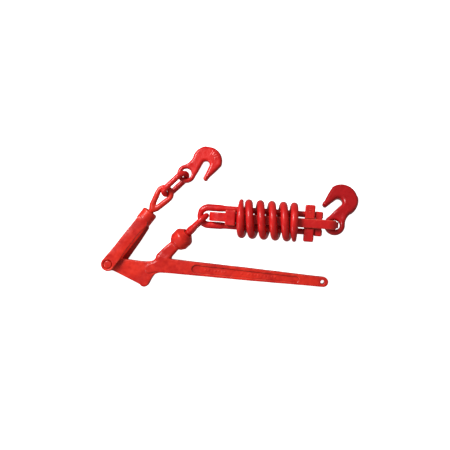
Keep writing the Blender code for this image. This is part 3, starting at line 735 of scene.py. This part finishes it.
def left_keeper_field(x, y, z):
    """A block with a groove for each leg of the rod, and a slot whose end is round for the strap's bend."""
    block = brick(x, y, z, (-83.6, -15.6, -37.0), (-63.4, 15.6, 37.0), 3.0)
    groove = rounded_bar(z, np.abs(y) - 20.0, GROOVE_HALF, 9.2, 1.6)
    block = soft_max(block, -groove, 1.2)
    seat = np.hypot(np.minimum(x + 70.5, 0), z) - 13.1
    slot = rounded_bar(y, z, 9.4, 21.9, 0.6)
    return soft_max(block, -np.maximum(slot, -seat), 0.7) + hammered(x, y, z, 0.12, 1.1)


def end_plate_field(x, y, z):
    block = brick(x, y, z, (93.7, -24.8, -10.0), (108.2, 24.8, 10.0), 2.0)
    return soft_max(block, rod_holes(y, z), 0.8) + hammered(x, y, z, 0.06, 0.2)


def rod_holes(y, z):
    return 6.5 - np.hypot(np.abs(y) - ROD_BOW, z)


# ---------------------------------------------------------------- spring

COIL_RADIUS, WIRE, SPRING_HALF, TURNS = 32.3, 7.7, 63.0, 5.45
STEPS, SIDES = int(TURNS * 96), 40
GROUND_OFF = 0.9  # how much the grinding takes off each end
CAP = [(0.405, 0.6), (-0.18, 0.86), (-1.08, 1.0)]  # how far past the wire's end a ring lies, and its size


def spring_rise(turns):
    """How far the wire has climbed after so many turns: both end turns are closed."""
    flat, ramp, low = 0.3, 0.45, 8.0
    pitch = 2 * (SPRING_HALF - WIRE - 2 * WIRE - 0.4) / (TURNS - 2)
    from_end = min(turns, TURNS - turns)
    along = min(max(from_end - flat, 0), ramp)
    rise = low * min(from_end, flat) + low * along + (pitch - low) * along**2 / (2 * ramp)
    return rise + pitch * max(from_end - flat - ramp, 0)


def spring_line():
    """The middle of the wire."""
    reach, middle = SPRING_HALF - WIRE, spring_rise(TURNS / 2)
    line = []
    for n in range(STEPS + 1):
        turns = TURNS * n / STEPS
        rise = spring_rise(turns) * reach / middle
        angle = 2 * pi * (turns + 0.03)
        x = rise - reach if turns <= TURNS / 2 else reach - rise
        line.append((x, COIL_RADIUS * cos(angle), COIL_RADIUS * sin(angle)))
    return np.array(line)


def wire_rings(line):
    """Each ring's centre, its two directions and its size. The wire tapers and is rounded at both ends."""
    ahead = np.gradient(line, axis=0)
    ahead /= np.linalg.norm(ahead, axis=1)[:, None]
    out = line * (0, 1, 1)
    out /= np.linalg.norm(out, axis=1)[:, None]
    out -= ahead * (out * ahead).sum(1)[:, None]
    side = np.cross(ahead, out)
    count = np.arange(STEPS + 1)
    taper = 0.6 + 0.4 * step(np.minimum(count, STEPS - count) * TURNS / STEPS, 0.0, 0.2)
    centres = line + out * (WIRE * (1 - taper))[:, None]
    first = [(centres[0] - ahead[0] * past, out[0], side[0], size * taper[0]) for past, size in CAP]
    rings = [(centres[i], out[i], side[i], taper[i]) for i in range(2, STEPS - 1)]
    last = [(centres[-1] + ahead[-1] * past, out[-1], side[-1], size * taper[-1]) for past, size in CAP[::-1]]
    return first + rings + last


def make_spring():
    rings = wire_rings(spring_line())
    angles = np.arange(SIDES)[:, None] * 2 * pi / SIDES
    around = [c + WIRE * s * (np.cos(angles) * out + np.sin(angles) * side) for c, out, side, s in rings]
    points = np.concatenate(around)
    points[:, 0] = np.clip(points[:, 0], GROUND_OFF - SPRING_HALF, SPRING_HALF - GROUND_OFF)
    points += hammered(*points.T, 0.06, 1.5)[:, None] * (0, 0, 1)
    ring, corner = np.meshgrid(np.arange(len(rings) - 1), np.arange(SIDES), indexing="ij")
    following = (corner + 1) % SIDES
    here, ahead = ring * SIDES, (ring + 1) * SIDES
    faces = np.stack([here + corner, here + following, ahead + following, ahead + corner], -1).reshape(-1, 4)
    # An even bulge, so the worn edge colour and painted highlight show on the spring only in flecks.
    mesh = mesh_of("compression_spring_coil", points, faces, DRAW, np.full(len(points), 0.06))
    obj = bpy.data.objects.new("compression_spring_coil", mesh)
    bpy.context.scene.collection.objects.link(obj)
    close_ends(mesh)
    return obj


def close_ends(mesh):
    shape = bmesh.new()
    shape.from_mesh(mesh)
    bmesh.ops.holes_fill(shape, edges=[e for e in shape.edges if e.is_boundary], sides=0)
    bmesh.ops.recalc_face_normals(shape, faces=shape.faces)
    shape.to_mesh(mesh)
    shape.free()
    mesh.shade_smooth()


# ---------------------------------------------------------------- the pieces

HOOK_A, HOOK_B = hook(0.96, 3.6, 10.95, 0.9), hook(1.04, 8.6, 10.2, 0.0)

# Each piece's body, material slot and frame, with the CAD node that it stands for
KINDS = {
    "lever_forging": ("lever", ORANGE_RED, LEVER, "lever"),
    "hinge_pin_body": ("yoke", ORANGE_RED, YOKE, "hinge_pin"),
    "yoke_forging": ("yoke", ORANGE_RED, YOKE, "yoke"),
    "yoke_eye_forging": ("yoke_eye", ORANGE_RED, YOKE_EYE, "swivel_eye_yoke"),
    "lever_eye_forging": ("lever_eye", RED, SOCKET, "swivel_eye_lever"),
    "chain_link_bar": ("link", RED, LINK, "chain_link"),
    "chain_hook_forging": ("chain_hook", RED, HOOK_CHAIN, "grab_hook_chain"),
    "spring_hook_forging": ("spring_hook", DEEP_RED, HOOK_SPRING, "grab_hook_spring"),
    "draw_rod_bar": ("draw_frame", RED, DRAW, "draw_rod"),
    "draw_strap_bar": ("strap", RED, DRAW, "draw_strap"),
    "right_keeper_block": ("draw_frame", RED, DRAW, "keeper_bar_right"),
    "left_keeper_block": ("spring_pack", RED, DRAW, "keeper_bar_left"),
    "end_plate_block": ("draw_frame", RED, DRAW, "end_plate_right"),
}

# Each piece's field, two corners of the box that holds it, and the mesh's cell
FIELDS = {
    "lever_forging": (lever_field, (-15, -41, -23), (453, 90, 23), 1.0),
    "hinge_pin_body": (pin_field, (-9, -9, -24), (9, 9, 24), 0.6),
    "yoke_forging": (yoke_field, (-16, -23, -28), (139, 17, 23), 0.8),
    "yoke_eye_forging": (yoke_eye_field, (-39, -21, -12), (67, 21, 12), 0.7),
    "lever_eye_forging": (lever_eye_field, (-12, -12, -21), (82, 12, 21), 0.7),
    "chain_link_bar": (link_field, (-7, -8, -24), (67, 8, 24), 0.7),
    "chain_hook_forging": (HOOK_A, (-20, -20, -11), (72, 61, 11), 0.8),
    "spring_hook_forging": (HOOK_B, (-22, -22, -12), (79, 66, 12), 0.8),
    "draw_rod_bar": (rod_field, (-145, -26, -8), (111, 26, 8), 0.8),
    "draw_strap_bar": (strap_field, (-120, -10, -22), (142, 10, 22), 0.9),
    "right_keeper_block": (right_keeper_field, (72, -38, -17), (94, 38, 17), 0.7),
    "left_keeper_block": (left_keeper_field, (-85, -17, -38), (-62, 17, 38), 0.7),
    "end_plate_block": (end_plate_field, (93, -26, -11), (109, 26, 11), 0.7),
}

COARSER = 1.0


def make_pieces():
    for name, (body, paint, matrix, node) in KINDS.items():
        field, low, high, cell = FIELDS[name]
        fit(surface(name, field, low, high, cell * COARSER, matrix), body, paint, node)
    spring = fit(make_spring(), "spring_pack", RED, "compression_spring")
    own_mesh(spring)


# ---------------------------------------------------------------- floor, light and camera


def make_floor():
    """A white floor that glows, so no shadow shows on it. It lights nothing itself."""
    bpy.ops.mesh.primitive_plane_add(size=14, location=(0, 0, 0))
    floor = bpy.context.object
    floor.name = "floor"
    n = Nodes("pale_floor")
    values = {"Base Color": (0.9, 0.9, 0.9, 1.0), "Roughness": 0.9, "Specular IOR Level": 0.1}
    values |= {"Emission Color": (1.0, 1.0, 1.0, 1.0), "Emission Strength": 1.0}
    shader = n.add("ShaderNodeBsdfPrincipled", values)
    n.add("ShaderNodeOutputMaterial", {"Surface": shader.outputs[0]})
    floor.data.materials.append(n.material)
    floor.visible_diffuse = floor.visible_glossy = False


def make_light(name, place, size, power):
    light = bpy.data.lights.new(name, "AREA")
    light.shape = "DISK"
    light.size, light.energy = size, power
    obj = bpy.data.objects.new(name, light)
    bpy.context.scene.collection.objects.link(obj)
    obj.location = place
    obj.rotation_euler = (-Vector(place)).to_track_quat("-Z", "Y").to_euler()


def make_studio():
    make_floor()
    make_light("key", (-0.95, 0.95, 1.45), 0.9, 39.0)
    make_light("low", (-1.5, -0.9, 0.8), 0.8, 7.0)
    world = bpy.data.worlds.new("studio")
    world.use_nodes = True
    sky = world.node_tree.nodes["Background"].inputs
    sky["Color"].default_value = (1.0, 1.0, 1.0, 1.0)
    sky["Strength"].default_value = 0.27
    bpy.context.scene.world = world
    bpy.context.scene.view_settings.view_transform = "Standard"


def make_camera():
    camera = bpy.data.cameras.new("camera")
    camera.lens, camera.sensor_width = 61.84, 36.0
    camera.clip_start, camera.clip_end = 0.05, 50.0
    obj = bpy.data.objects.new("camera", camera)
    bpy.context.scene.collection.objects.link(obj)
    lean = Matrix.Rotation(-0.0134, 4, "X") @ Matrix.Rotation(0.0949, 4, "Y")
    lean = Matrix.Rotation(0.0022, 4, "Z") @ lean
    obj.matrix_world = Matrix.Translation((0.142, 0.0038, 1.6)) @ lean
    bpy.context.scene.camera = obj


make_pieces()
make_studio()
make_camera()
